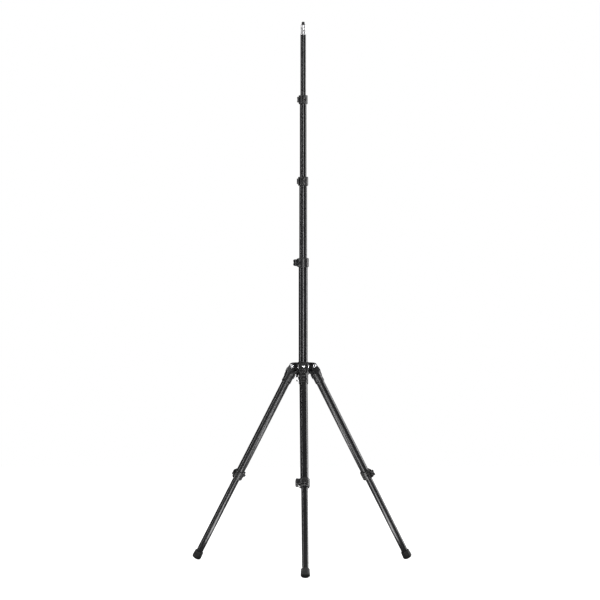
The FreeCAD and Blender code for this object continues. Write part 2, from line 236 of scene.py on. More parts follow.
def turned_ring(loop, segments=64):
    """A hollow piece turned about Z: a closed loop of radius and height carried once round."""
    p = np.asarray(loop, float)
    a = np.linspace(0, 2 * np.pi, segments, endpoint=False)[:, None]
    r, z = p[None, :, 0], p[None, :, 1]
    return np.stack([r * np.cos(a), r * np.sin(a), z + 0 * a], -1), True


def outward(outline):
    """The outline's normals: the direction between its neighbours, turned a quarter."""
    along = np.roll(outline, -1, 0) - np.roll(outline, 1, 0)
    normal = np.stack([along[:, 1], -along[:, 0]], -1)
    normal /= np.linalg.norm(normal, axis=1, keepdims=True) + 1e-12
    x, y = outline[:, 0], outline[:, 1]
    area = (x * np.roll(y, -1) - np.roll(x, -1) * y).sum()
    return normal * np.sign(area)


def slab(outline, low, high, edge, order=(0, 1, 2), steps=5):
    """A flat piece: the outline stacked from low to high, drawn in near each face by
    edge (1 - cos q) while the height moves by edge (1 - sin q), which rounds its rim."""
    q = np.linspace(0, np.pi / 2, steps)
    inset = np.concatenate([edge * (1 - np.sin(q)), edge * (1 - np.sin(q[::-1]))])
    height = np.concatenate([low + edge * (1 - np.cos(q)), high - edge * (1 - np.cos(q[::-1]))])
    flat = outline[None] - outward(outline)[None] * inset[:, None, None]
    grid = np.concatenate([flat, np.broadcast_to(height[:, None, None], flat.shape[:2] + (1,))], -1)
    return grid[..., list(order)], False


def rectangle(x0, x1, y0, y1, radius, steps=6):
    """A rectangle with round corners."""
    return soften([(x0, y0), (x1, y0), (x1, y1), (x0, y1)], radius, steps)


STAND_XZ = (0, 2, 1)      # an outline in X and Z, stacked along Y

# %% [markdown]
# ## Finishes
# Nearly everything here is black, so the finishes differ in how they catch the light. Three effects
# are shared: fine lengthwise draw marks on the tubes, the sandy grain of powder coat and moulded
# nylon, and a thin film of dust and handling that lightens the black unevenly. Each is a node group
# with named sockets, and every material places it with its own values. The groups only give out
# masks and heights; the shader itself stays in the material.

# %% Shared effects
def node_group(name, inputs, outputs):
    """An empty shader group with float or vector inputs and float outputs."""
    group = bpy.data.node_groups.new(name, "ShaderNodeTree")
    for title, kind, value in inputs:
        socket = group.interface.new_socket(title, in_out="INPUT", socket_type=kind)
        if value is not None:
            socket.default_value = value
    for title in outputs:
        group.interface.new_socket(title, in_out="OUTPUT", socket_type="NodeSocketFloat")
    enter = group.nodes.new("NodeGroupInput")
    leave = group.nodes.new("NodeGroupOutput")
    return group, enter, leave


def add(tree, kind, links=(), **values):
    """A node with its properties set and (socket, source) pairs linked or filled in."""
    node = tree.nodes.new(kind)
    for key, value in values.items():
        setattr(node, key, value)
    for socket, source in links:
        if isinstance(source, bpy.types.NodeSocket):
            tree.links.new(source, node.inputs[socket])
        else:
            node.inputs[socket].default_value = source
    return node


def make_draw_marks():
    """Noise squeezed hard along one direction, which reads as fine lines along a drawn tube."""
    group, enter, leave = node_group("draw_marks", [
        ("Place", "NodeSocketVector", None), ("Across", "NodeSocketFloat", 900.0),
        ("Along", "NodeSocketFloat", 6.0)], ["Height", "Mask"])
    scale = add(group, "ShaderNodeCombineXYZ", [(0, enter.outputs["Across"]), (1, enter.outputs["Along"])])
    place = add(group, "ShaderNodeVectorMath", [(0, enter.outputs["Place"]), (1, scale.outputs[0])],
                operation="MULTIPLY")
    fine = add(group, "ShaderNodeTexNoise", [("Vector", place.outputs[0]), ("Scale", 1.0),
                                             ("Detail", 3.0), ("Roughness", 0.6)])
    group.links.new(fine.outputs["Fac"], leave.inputs["Height"])
    mask = add(group, "ShaderNodeMapRange", [("Value", fine.outputs["Fac"]), ("From Min", 0.35),
                                             ("From Max", 0.7)])
    group.links.new(mask.outputs[0], leave.inputs["Mask"])
    return group


def make_fine_grain():
    """Two sizes of noise added, the coarse one giving the orange peel and the small one the sand."""
    group, enter, leave = node_group("fine_grain", [
        ("Place", "NodeSocketVector", None), ("Size", "NodeSocketFloat", 1400.0)], ["Height", "Mask"])
    small = add(group, "ShaderNodeTexNoise", [("Vector", enter.outputs["Place"]),
                                              ("Scale", enter.outputs["Size"]), ("Detail", 2.0)])
    less = add(group, "ShaderNodeMath", [(0, enter.outputs["Size"]), (1, 0.3)], operation="MULTIPLY")
    peel = add(group, "ShaderNodeTexVoronoi", [("Vector", enter.outputs["Place"]),
                                               ("Scale", less.outputs[0])])
    both = add(group, "ShaderNodeMath", [(0, peel.outputs["Distance"]), (1, 0.6),
                                         (2, small.outputs["Fac"])], operation="MULTIPLY_ADD")
    group.links.new(both.outputs[0], leave.inputs["Height"])
    mask = add(group, "ShaderNodeMapRange", [("Value", both.outputs[0]), ("From Min", 0.5),
                                             ("From Max", 1.1)])
    group.links.new(mask.outputs[0], leave.inputs["Mask"])
    return group


def make_handling():
    """Broad soft patches broken by small specks: where hands, floors and bags have rubbed."""
    group, enter, leave = node_group("handling", [
        ("Place", "NodeSocketVector", None), ("Patches", "NodeSocketFloat", 14.0),
        ("Specks", "NodeSocketFloat", 420.0), ("Amount", "NodeSocketFloat", 0.5)], ["Mask"])
    broad = add(group, "ShaderNodeTexNoise", [("Vector", enter.outputs["Place"]),
                                              ("Scale", enter.outputs["Patches"]), ("Detail", 4.0)])
    specks = add(group, "ShaderNodeTexNoise", [("Vector", enter.outputs["Place"]),
                                               ("Scale", enter.outputs["Specks"]), ("Detail", 1.0)])
    worn = add(group, "ShaderNodeMapRange", [("Value", broad.outputs["Fac"]), ("From Min", 0.42),
                                             ("From Max", 0.68)])
    dots = add(group, "ShaderNodeMapRange", [("Value", specks.outputs["Fac"]), ("From Min", 0.45),
                                             ("From Max", 0.75)])
    mixed = add(group, "ShaderNodeMath", [(0, worn.outputs[0]), (1, dots.outputs[0])], operation="MULTIPLY")
    total = add(group, "ShaderNodeMath", [(0, mixed.outputs[0]), (1, enter.outputs["Amount"])],
                operation="MULTIPLY", use_clamp=True)
    group.links.new(total.outputs[0], leave.inputs["Mask"])
    return group


draw_marks = make_draw_marks()
fine_grain = make_fine_grain()
handling = make_handling()
print("shared effects:", [g.name for g in (draw_marks, fine_grain, handling)])

# %% [markdown]
# The tubes are drawn aluminium, anodised black: smooth, with a soft bright streak and faint lines
# along them, so their pattern follows the surface map (metres round, metres along). Castings are
# powder coated, locks and levers are moulded nylon with glass fibre, the feet are rubber, and the
# bright parts are zinc-plated steel or turned aluminium. The colours of each are close, and the
# roughness and the bump are what tells them apart.

# %% Materials
def start_material(name):
    """A material with a Principled shader and its output, and a blank tree besides."""
    material = bpy.data.materials.new(name)
    material.use_nodes = True
    tree = material.node_tree
    tree.nodes.clear()
    shader = tree.nodes.new("ShaderNodeBsdfPrincipled")
    out = tree.nodes.new("ShaderNodeOutputMaterial")
    tree.links.new(shader.outputs[0], out.inputs[0])
    return material, tree, shader


def place_group(tree, group, **values):
    """A shared effect, with its named inputs filled in or linked."""
    node = tree.nodes.new("ShaderNodeGroup")
    node.node_tree = group
    for title, source in values.items():
        if isinstance(source, bpy.types.NodeSocket):
            tree.links.new(source, node.inputs[title])
        else:
            node.inputs[title].default_value = source
    return node


def two_tone(tree, mask, dark, light):
    """A colour between two, by a mask."""
    mix = tree.nodes.new("ShaderNodeMix")
    mix.data_type = "RGBA"
    tree.links.new(mask, mix.inputs["Factor"])
    mix.inputs[6].default_value = (*dark, 1)
    mix.inputs[7].default_value = (*light, 1)
    return mix.outputs[2]


def spread(tree, mask, low, high):
    """A number between two, by a mask."""
    return add(tree, "ShaderNodeMapRange", [("Value", mask), ("To Min", low), ("To Max", high)]).outputs[0]


def surface_place(tree):
    """The piece's own map as a vector."""
    return add(tree, "ShaderNodeUVMap", uv_map="surface").outputs[0]


def object_place(tree):
    """The place in the object's own space, which is the stand's."""
    return tree.nodes.new("ShaderNodeTexCoord").outputs["Object"]


def tube_material(name, black, light, smooth):
    """Drawn, anodised tube: line marks in the bump and roughness, handling in the colour."""
    material, tree, shader = start_material(name)
    marks = place_group(tree, draw_marks, Place=surface_place(tree), Across=5.0, Along=1500.0)
    hands = place_group(tree, handling, Place=object_place(tree), Patches=9.0, Specks=520.0, Amount=0.55)
    colour = two_tone(tree, hands.outputs["Mask"], black, light)
    rough = add(tree, "ShaderNodeMath", [(0, hands.outputs["Mask"]), (1, 0.25),
                                         (2, spread(tree, marks.outputs["Mask"], smooth, smooth + 0.09))],
                operation="MULTIPLY_ADD")
    bump = add(tree, "ShaderNodeBump", [("Height", marks.outputs["Height"]), ("Strength", 0.12),
                                        ("Distance", 0.00005)])
    tree.links.new(colour, shader.inputs["Base Color"])
    tree.links.new(rough.outputs[0], shader.inputs["Roughness"])
    tree.links.new(bump.outputs[0], shader.inputs["Normal"])
    shader.inputs["Metallic"].default_value = 0.25
    shader.inputs["Specular IOR Level"].default_value = 0.28
    return material


def moulded_material(name, black, light, smooth, grain_size, grain_depth, metallic=0.0, amount=0.6):
    """Moulded nylon, powder coat or rubber: grain in the bump and roughness, handling in the colour."""
    material, tree, shader = start_material(name)
    place = object_place(tree)
    grain = place_group(tree, fine_grain, Place=place, Size=grain_size)
    hands = place_group(tree, handling, Place=place, Patches=38.0, Specks=900.0, Amount=amount)
    colour = two_tone(tree, hands.outputs["Mask"], black, light)
    rough = add(tree, "ShaderNodeMath", [(0, grain.outputs["Mask"]), (1, 0.14), (2, smooth)],
                operation="MULTIPLY_ADD")
    bump = add(tree, "ShaderNodeBump", [("Height", grain.outputs["Height"]), ("Strength", 0.35),
                                        ("Distance", grain_depth)])
    tree.links.new(colour, shader.inputs["Base Color"])
    tree.links.new(rough.outputs[0], shader.inputs["Roughness"])
    tree.links.new(bump.outputs[0], shader.inputs["Normal"])
    shader.inputs["Metallic"].default_value = metallic
    shader.inputs["Specular IOR Level"].default_value = 0.24
    return material


def bright_material(name, dark, light, smooth, across, along):
    """Turned or plated metal: marks round the axis in the bump and roughness, a little tarnish."""
    material, tree, shader = start_material(name)
    marks = place_group(tree, draw_marks, Place=surface_place(tree), Across=across, Along=along)
    hands = place_group(tree, handling, Place=object_place(tree), Patches=60.0, Specks=1100.0, Amount=0.7)
    colour = two_tone(tree, hands.outputs["Mask"], light, dark)
    rough = spread(tree, marks.outputs["Mask"], smooth, smooth + 0.16)
    bump = add(tree, "ShaderNodeBump", [("Height", marks.outputs["Height"]), ("Strength", 0.25),
                                        ("Distance", 0.00004)])
    tree.links.new(colour, shader.inputs["Base Color"])
    tree.links.new(rough, shader.inputs["Roughness"])
    tree.links.new(bump.outputs[0], shader.inputs["Normal"])
    shader.inputs["Metallic"].default_value = 1.0
    return material


anodised = tube_material("anodised_tube", (0.006, 0.006, 0.0065), (0.018, 0.018, 0.019), 0.22)
powder_coat = moulded_material("powder_coat", (0.004, 0.004, 0.0043), (0.014, 0.014, 0.0145), 0.28,
                               1500.0, 0.00012, metallic=0.1)
nylon_black = moulded_material("moulded_nylon", (0.005, 0.005, 0.0053), (0.018, 0.018, 0.0185), 0.28,
                               2200.0, 0.00008)
lever_nylon = moulded_material("lever_nylon", (0.006, 0.006, 0.0063), (0.020, 0.020, 0.021), 0.26,
                               2200.0, 0.00008)
rubber = moulded_material("foot_rubber", (0.004, 0.004, 0.004), (0.017, 0.0166, 0.016), 0.50,
                          1100.0, 0.00018, amount=0.9)
bush_nylon = moulded_material("bush_nylon", (0.10, 0.10, 0.10), (0.16, 0.16, 0.15), 0.45, 2000.0, 0.00006)
turned_bright = bright_material("turned_aluminium", (0.10, 0.10, 0.10), (0.30, 0.30, 0.305), 0.30,
                                30.0, 5200.0)
zinc_plate = bright_material("zinc_plate", (0.18, 0.18, 0.18), (0.42, 0.42, 0.43), 0.24, 900.0, 900.0)
black_oxide = moulded_material("black_oxide", (0.014, 0.014, 0.0155), (0.04, 0.04, 0.043), 0.28,
                               2600.0, 0.00004, metallic=0.7)
print("materials:", len(bpy.data.materials))

# %% [markdown]
# ## Tubes
# A drawn tube is a hollow ring carried along its axis, with both end faces slightly rolled. The
# packed tube gives its outside radius and both ends; the wall is the maker's size. Turning a closed
# outline of the wall once round the axis makes the whole skin, inside and out.

# %% Column and leg tubes
TUBE_WALL = 1.2 * mm
END_ROLL = 0.45 * mm


def tube_size(node, place):
    """Outside radius, low end and high end of a tube in its frame."""
    local = in_frame(node_points(node), place)
    return np.hypot(local[:, 0], local[:, 1]).max(), local[:, 2].min(), local[:, 2].max()


def tube_piece(node, place, body):
    """The wall's outline, a thin rectangle of radius and height with rolled corners, turned once."""
    radius, low, high = tube_size(node, place)
    steps = np.linspace(low, high, 12)[1:-1]
    outer = [(radius, z) for z in steps]
    inner = [(radius - TUBE_WALL, z) for z in steps[::-1]]
    wall = [(radius - TUBE_WALL, low), (radius, low)] + outer
    wall += [(radius, high), (radius - TUBE_WALL, high)] + inner
    loop = soften(wall, END_ROLL, 4)
    return piece(node + "_drawn", [turned_ring(loop, 72)], place, body, [node], anodised)


body_of_node = {n: b for b, ns in record["behaviour"]["bodies"].items() for n in ns}
for number in range(1, 5):
    node = f"column_tube_{number}"
    tube_piece(node, column, body_of_node[node])
for name, place in legs.items():
    for part in ("upper", "lower"):
        node = f"leg_tube_{part}_{name}"
        tube_piece(node, place, body_of_node[node])
column_radius = [tube_size(f"column_tube_{n}", column)[0] for n in range(1, 5)]
leg_radius = [tube_size(f"leg_tube_{p}_front", legs["front"])[0] for p in ("lower", "upper")]
print("tube radii in mm", [round(r / mm, 2) for r in column_radius + leg_radius])

# %% [markdown]
# ## Lock collars
# Each lock is a split moulding clamped round the thick tube's end, with two ears that the bolt pulls
# together. Seen along the tube, its outline is a circle with a blunt nose, so the outer radius can
# be written as a function of the angle: the larger of the circle and the nose, with a soft join.
# At each angle a closed outline of the wall, in radius and height, is set up, and its height shrinks
# where the nose is long. Carrying that outline round from one side of the slit to the other makes
# the collar with a real slit, a lip on top and rounded edges everywhere.

# %% Collar surface
LOCK = {"wall": 3.9 * mm, "reach": 13.0 * mm, "ear_half": 8.0 * mm, "ear_tall": 11.5 * mm,
        "slit": 1.25 * mm, "lip": 1.5 * mm, "chamfer": 1.6 * mm, "eye_out": 6.5 * mm}


def soft_least(a, b, power):
    """Nearly the lesser of two positive numbers: (a^-p + b^-p)^(-1/p)."""
    scale = np.minimum(a, b)
    return scale * ((scale / a) ** power + (scale / b) ** power) ** (-1 / power)


def soft_most(a, b, power):
    """Nearly the greater of two positive numbers: (a^p + b^p)^(1/p)."""
    scale = np.maximum(a, b)
    return scale * ((a / scale) ** power + (b / scale) ** power) ** (1 / power)


def collar_grid(bore, throat, tall):
    """Rows go round the tube from slit to slit; columns go round the wall's outline."""
    round_radius = bore + LOCK["wall"]
    near = np.radians(np.array([6.8, 8.0, 9.4, 10.8, 12.2, 13.6, 15.0, 16.5, 18.0, 19.5, 21.0, 23.0, 25.0,
                                27.5, 30.0, 33.0, 36.0, 40.0, 45.0]))
    half = np.concatenate([near, np.radians(np.linspace(50, 180, 34))])
    angle = np.concatenate([half, 2 * np.pi - half[-2::-1]])
    angle = np.concatenate([[0.0], angle, [2 * np.pi]])
    c, s = np.cos(angle), np.abs(np.sin(angle))
    nose = soft_least(np.where(c > 0.05, (round_radius + LOCK["reach"]) / np.maximum(c, 0.05), 1e-6 + 0 * c),
                      np.where(c > 0.05, LOCK["ear_half"] / np.maximum(s, 1e-3), 1e-6 + 0 * c), 18.0)
    outer = soft_most(round_radius + 0 * c, nose, 22.0)
    outer = np.minimum(outer, (round_radius + LOCK["reach"]) / np.maximum(c, 0.5))
    high = tall / 2
    flat = high - LOCK["chamfer"]
    share = np.clip((outer - round_radius) / (4 * mm), 0, 1)
    edge = flat + (LOCK["ear_tall"] - flat) * share * share * (3 - 2 * share)
    k = 2.2 * mm * np.clip(share, 0.15, 1)
    one = np.minimum(outer, round_radius + 1 * mm)
    two = np.minimum(outer - 0.05 * mm, round_radius + 4 * mm)
    rim = round_radius - LOCK["chamfer"]
    ones = np.ones_like(outer)
    outline = [
        (bore * ones, -high * ones), (rim * ones, -high * ones),
        (one - 0.3 * mm, -flat * ones), (two - 0.2 * mm, -edge), (outer - k * share, -edge),
        (outer, -edge + k), (outer, 0 * ones), (outer, edge - k),
        (outer - k * share, edge), (two - 0.2 * mm, edge), (one - 0.3 * mm, flat * ones),
        (rim * ones, high * ones), (throat * ones, high * ones),
        (throat * ones, (high - LOCK["lip"]) * ones), (bore * ones, (high - LOCK["lip"]) * ones)]
    loop = np.array(outline).transpose(2, 0, 1)
    smooth = np.stack([soften(section, 0.8 * mm, 4) for section in loop])
    radius, height = smooth[..., 0], smooth[..., 1]
    x, y = radius * np.cos(angle[:, None]), radius * np.sin(angle[:, None])
    for row, side in ((0, 1.0), (-1, -1.0)):
        y[row] = side * LOCK["slit"]
        x[row] = np.sqrt(np.maximum(radius[row] ** 2 - LOCK["slit"] ** 2, 0))
    return np.stack([x, y, height], -1), False


# %% [markdown]
# ## Levers, bolts and nuts
# The lever is one moulding: a cam boss on a pin beside the ears, then an arm that wraps round the
# collar and ends in a ribbed thumb pad. That is a bar whose section slides along a path, so its
# centre line is a straight run from the pin that meets an arc about the tube. The section is a
# rounded rectangle whose thickness shrinks from the boss to the arm. Ribs are a wave added to the
# outer side near the tip, where a thumb needs grip. The boss itself is two short turned knuckles
# with a gap between them, where the bolt's eye sits.

# %% Lever surface
LEVER = {"gap": 0.7 * mm, "thick": 3.6 * mm, "tall": 19.0 * mm, "cam": 5.2 * mm, "pin": 1.5 * mm,
         "join": math.radians(50), "tip": math.radians(128), "eye_tall": 5.6 * mm, "root": 5.6 * mm,
         "start": 3.4 * mm, "flare": 1.3 * mm, "rib": 0.55 * mm, "rib_step": 2.6 * mm, "rib_run": 13 * mm}
EYEBOLT = {"shank": 2.5 * mm, "end": 13.5 * mm, "nut": 4.6 * mm, "nut_tall": 4.5 * mm, "eye": 4.0 * mm,
           "eye_half": 2.5 * mm, "pin": 1.5 * mm, "pin_half": 9.0 * mm, "knurls": 24, "knurl": 0.05}


def lever_grids(bore, pivot):
    """The arm's rows run along its centre line; the two knuckles are turned about the pin."""
    near = bore + LOCK["wall"] + LEVER["gap"]
    middle = near + LEVER["thick"] / 2
    meet = middle * np.array([np.cos(LEVER["join"]), -np.sin(LEVER["join"])])
    start = pivot[:2] + unit(meet - pivot[:2]) * LEVER["start"]
    run = start + np.linspace(0, 1, 10)[:-1, None] * (meet - start)
    turn = -np.linspace(LEVER["join"], LEVER["tip"], 64)
    last = np.clip((-turn - (LEVER["tip"] - 0.2)) / 0.2, 0, 1)
    reach = middle + LEVER["flare"] * last ** 2
    arc = np.stack([reach * np.cos(turn), reach * np.sin(turn)], -1)
    path = np.vstack([run, arc])
    along = np.gradient(path, axis=0)
    along /= np.linalg.norm(along, axis=1, keepdims=True)
    side = np.stack([along[:, 1], -along[:, 0]], -1)
    side *= np.sign((side[-1] * path[-1]).sum())
    travelled = np.concatenate([[0], np.cumsum(np.linalg.norm(np.diff(path, axis=0), axis=1))])
    left = travelled[-1] - travelled
    ease = np.clip(travelled / (9 * mm), 0, 1)
    thick = LEVER["root"] * (1 - ease) + LEVER["thick"] * ease
    ribbed = (left < LEVER["rib_run"]) * (left > 1 * mm)
    ribs = LEVER["rib"] * np.clip(np.sin(2 * np.pi * left / LEVER["rib_step"]), 0, 1) * ribbed
    tip = np.sqrt(np.clip(left / (2.2 * mm), 0.12, 1))
    tall = LEVER["tall"] / 2 * (1 - 0.10 * np.clip(1 - left / (5 * mm), 0, 1))
    section = rectangle(-0.5, 0.5, -1, 1, [0.26, 0.26, 0.30, 0.30], 5)
    across = section[None, :, 0] * thick[:, None] * tip[:, None]
    outside = (section[:, 0] > 0.3) * (np.abs(section[:, 1]) < 0.8)
    across = across + np.where(outside[None], ribs[:, None], 0)
    up = section[None, :, 1] * tall[:, None]
    xy = path[:, None, :] + side[:, None, :] * across[..., None]
    arm = np.concatenate([xy, up[..., None]], -1), False
    knuckles = []
    for way in (-1, 1):
        low, high = LEVER["eye_tall"] / 2, LEVER["tall"] / 2
        hole = LEVER["pin"] + 0.05 * mm
        loop = soften([(hole, low), (LEVER["cam"], low), (LEVER["cam"], high), (hole, high)], 0.7 * mm, 5)
        loop = loop * [1, way]
        grid, ring = turned_ring(loop, 40)
        knuckles.append((grid + [pivot[0], pivot[1], 0], ring))
    return [arm] + knuckles


def bolt_grids(pivot, bore):
    """Along Y through both ears: a shank, a domed nut with flats rounded into a knurl, and the eye
    and pin about Z at the pivot."""
    foot = bore + LOCK["wall"] + LOCK["eye_out"]
    e = EYEBOLT
    centre, break_edge = 0.2 * mm, 0.5 * mm
    start = pivot[1] + e["pin"]
    shank, _ = turned([(centre, start), (e["shank"], start), (e["shank"], e["end"] - break_edge),
                       (e["shank"] - break_edge, e["end"]), (centre, e["end"])], 32)
    face = LOCK["ear_half"]
    nut_end = face + e["nut_tall"]
    profile = soften([(e["shank"], face), (e["nut"], face), (e["nut"], nut_end), (e["shank"], nut_end)],
                     0.6 * mm, 5)
    nut, ring = turned_ring(profile, 96)
    a = np.arctan2(nut[..., 1], nut[..., 0])
    r = np.hypot(nut[..., 0], nut[..., 1])
    knurl = 1 - e["knurl"] * (0.5 + 0.5 * np.cos(e["knurls"] * a)) * (r > e["nut"] - 0.4 * mm)
    nut[..., :2] *= knurl[..., None]
    eye, _ = turned_ring(soften([(e["pin"], -e["eye_half"]), (e["eye"], -e["eye_half"]),
                                 (e["eye"], e["eye_half"]), (e["pin"], e["eye_half"])], 0.4 * mm, 4), 40)
    neck, tip = e["pin"] - 0.2 * mm, e["pin_half"] - 0.4 * mm
    pin, _ = turned([(0.1 * mm, -e["pin_half"]), (neck, -e["pin_half"]), (e["pin"], -tip), (e["pin"], tip),
                     (neck, e["pin_half"]), (0.1 * mm, e["pin_half"])], 28)
    lay = [0, 2, 1]
    return [(shank[..., lay] + [foot, 0, 0], False), (nut[..., lay] + [foot, 0, 0], True),
            (eye + [pivot[0], pivot[1], 0], True), (pin + [pivot[0], pivot[1], 0], False)]


def lock_pieces(group, end, tube_place, bore, throat, flip):
    """Collar, bolt and lever of one lock, each in the lock's own frame."""
    collar = f"{group}_collar_{end}"
    place = lock_frame(collar, tube_place, flip)
    local = in_frame(node_points(collar), place)
    tall = local[:, 2].max() - local[:, 2].min()
    pivot = in_frame(np.array(joints[f"{group}_lever_{end}_turn"]["pos_m"])[None], place)[0]
    lever = f"{group}_lever_{end}"
    bolt = f"{group}_eyebolt_{end}"
    piece(collar + "_moulded", [collar_grid(bore, throat + 0.3 * mm, tall)], place, body_of_node[collar],
          [collar], nylon_black)
    piece(lever + "_moulded", lever_grids(bore, pivot), place, body_of_node[lever],
          [lever], lever_nylon)
    piece(bolt + "_turned", bolt_grids(pivot, bore), place, body_of_node[bolt], [bolt],
          black_oxide)
    return pivot


for number in (1, 2, 3):
    pivot = lock_pieces("column", str(number), column, column_radius[number], column_radius[number - 1], 1.0)
for name, place in legs.items():
    pivot = lock_pieces("leg", name, place, leg_radius[1], leg_radius[0], 1.0)
print("last lever's pin from the tube's axis, in mm", np.round(pivot / mm, 2))

# %% [markdown]
# ## Leg castings
# The casting is a fork at the top, which straddles the hub's lug, running into a round sleeve that
# holds the leg tube. The two cheeks are flat plates with a round top about the hinge. Below them the
# body changes smoothly from a blunt block to a cylinder, which a super-ellipse does: its power falls
# from 6, nearly a rectangle, to 2, a true circle. The clamp boss inside and the flat that the angle
# tab slides on are rounded blocks sunk into the body.

# %% Casting surface
CASTING = {"web": 12.5 * mm, "sleeve": 16.2 * mm, "end": 66.0 * mm, "inner": 10.3 * mm, "outer": 16.3 * mm,
           "cheek": 11.0 * mm, "pad_top": 17.0 * mm, "block": 15.4 * mm}


def super_ellipse(half_x, half_y, power, count=72):
    """x = half_x sign(cos a) |cos a|^(2/p), y likewise with sine."""
    a = np.linspace(0, 2 * np.pi, count, endpoint=False)
    c, s = np.cos(a), np.sin(a)
    e = 2 / power
    x = half_x * np.sign(c) * np.abs(c) ** e
    y = half_y * np.sign(s) * np.abs(s) ** e
    return np.stack([x, y], -1)


def casting_grids():
    """Cheeks, body, pad and heel in the leg's frame."""
    c = CASTING
    a = np.linspace(np.radians(-8), np.radians(188), 40)
    top = np.stack([c["cheek"] * np.cos(a), -c["cheek"] * np.sin(a)], -1)
    foot = np.array([(-c["sleeve"] + 1.2 * mm, 25 * mm), (c["sleeve"] - 1.2 * mm, 25 * mm)])
    outline = np.vstack([top, foot])
    cheeks = [slab(outline, c["inner"], c["outer"], 1.3 * mm, STAND_XZ),
              slab(outline, -c["outer"], -c["inner"], 1.3 * mm, STAND_XZ)]
    z = np.concatenate([np.linspace(c["web"], 15 * mm, 5), np.linspace(16 * mm, 34 * mm, 16),
                        [52, 53.2, 54, 54.8, 56, 57.2, 58, 58.8, 60, 64.6, 65.4, 65.8, 66]
                        * np.array(mm)])
    share = np.clip((z - 15 * mm) / (17 * mm), 0, 1)
    share = share * share * (3 - 2 * share)
    lip = 1.6 * mm * np.clip(1 - (z - c["web"]) / (2.2 * mm), 0, 1) ** 2
    end = 0.9 * mm * np.clip((z - 65 * mm) / (1 * mm), 0, 1) ** 2
    groove = 0.55 * mm * sum(np.exp(-((z - at * mm) / (0.7 * mm)) ** 2) for at in (54, 58))
    half_x = c["block"] + (c["sleeve"] - c["block"]) * share - lip - end - groove
    half_y = (c["outer"] - 0.3 * mm) + (c["sleeve"] - c["outer"] + 0.3 * mm) * share - lip - end - groove
    power = 7 - 5 * share
    rows = np.stack([super_ellipse(hx, hy, p) for hx, hy, p in zip(half_x, half_y, power)])
    body = np.concatenate([rows, np.broadcast_to(z[:, None, None], rows.shape[:2] + (1,))], -1), False
    pad_side = rectangle(9 * mm, c["pad_top"], 18 * mm, 46 * mm, [0.5 * mm, 2.4 * mm, 4.5 * mm, 0.5 * mm])
    pad = slab(pad_side, -7 * mm, 7 * mm, 1.0 * mm, STAND_XZ)
    heel_side = rectangle(-c["sleeve"] - 3 * mm, -9 * mm, 26 * mm, 44 * mm,
                          [3.5 * mm, 0.5 * mm, 0.5 * mm, 5.0 * mm])
    heel = slab(heel_side, -5 * mm, 5 * mm, 1.4 * mm, STAND_XZ)
    rib_side = rectangle(-c["sleeve"] - 0.9 * mm, -9 * mm, 42 * mm, 61 * mm,
                         [2 * mm, 0.5 * mm, 0.5 * mm, 4 * mm])
    rib = slab(rib_side, -2 * mm, 2 * mm, 0.8 * mm, STAND_XZ)
    return cheeks + [body, pad, heel, rib]


def tab_grids():
    """The angle tab: a thumb plate with a high ridge and three low ones, on the pawl's stem."""
    low = 17.3 * mm
    side = soften([(low, 19 * mm), (low + 2.2 * mm, 19 * mm), (low + 2.2 * mm, 22.2 * mm),
                   (low + 1.5 * mm, 24.0 * mm), (low + 1.5 * mm, 33 * mm), (low, 33 * mm)],
                  [0.3 * mm, 0.6 * mm, 0.6 * mm, 1.2 * mm, 0.7 * mm, 0.3 * mm], 6)
    plate = slab(side, -6 * mm, 6 * mm, 0.7 * mm, STAND_XZ)
    ridges = [slab(rectangle(low + 0.8 * mm, low + 2.1 * mm, z * mm, (z + 1.1) * mm, 0.5 * mm),
                   -5 * mm, 5 * mm, 0.4 * mm, STAND_XZ) for z in (26.0, 28.2, 30.4)]
    stem = slab(rectangle(10 * mm, low + 1 * mm, 14.2 * mm, 30 * mm, 0.6 * mm), -2 * mm, 2 * mm, 0.4 * mm,
                STAND_XZ)
    return [plate, stem] + ridges


for name, place in legs.items():
    node = f"leg_casting_{name}"
    piece(node + "_cast", casting_grids(), place, body_of_node[node], [node], powder_coat)
    node = f"leg_angle_tab_{name}"
    piece(node + "_moulded", tab_grids(), place, body_of_node[node], [node], lever_nylon)
print("casting length", CASTING["end"] / mm, "mm from the hinge")

# %% [markdown]
# ## Feet
# The foot is a moulded rubber cup pushed over the tube. It is a turned shape: a soft lip at the mouth,
# two shallow grip grooves, a thicker waist and a broad round rim that rolls on the floor. The tread on
# the bottom is a set of rings, cut as shallow waves in the outline. The cup stays a little inside
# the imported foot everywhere, and its rim touches the floor at the same point.

# %% Foot surface
FOOT = {"radius": 16.0 * mm, "length": 28.0 * mm, "rim": 6.0 * mm, "tube": 11.5 * mm}


def foot_grid(place, node):
    """The outline of radius and height down the leg, with grooves as dips, turned once."""
    local = in_frame(node_points(node), place)
    end = local[:, 2].max()
    top = end - FOOT["length"]
    r = FOOT["radius"]
    mouth = soften([(FOOT["tube"] - 0.5 * mm, top), (r - 1.4 * mm, top), (r - 0.9 * mm, top + 3 * mm)],
                   1.2 * mm, 6, closed=False)
    z = np.linspace(top + 4 * mm, end - FOOT["rim"], 40)
    dips = sum(np.exp(-((z - top - d * mm) / (0.75 * mm)) ** 2) for d in (6.5, 9.5, 12.5))
    swell = np.clip((z - top) / (20 * mm), 0, 1)
    wall = np.stack([r - 0.9 * mm + 0.9 * mm * swell * swell * (3 - 2 * swell) - 0.7 * mm * dips, z], -1)
    q = np.linspace(0, np.pi / 2, 14)
    rim = np.stack([r - FOOT["rim"] * (1 - np.cos(q)), end - FOOT["rim"] * (1 - np.sin(q))], -1)
    s = np.linspace(r - FOOT["rim"] - 0.5 * mm, 0.4 * mm, 30)
    tread = np.stack([s, end - 0.35 * mm * (0.5 - 0.5 * np.cos(2 * np.pi * s / (2.4 * mm)))], -1)
    grid, ring = turned(np.vstack([mouth, wall, rim[1:], tread]), 80)
    return grid, ring


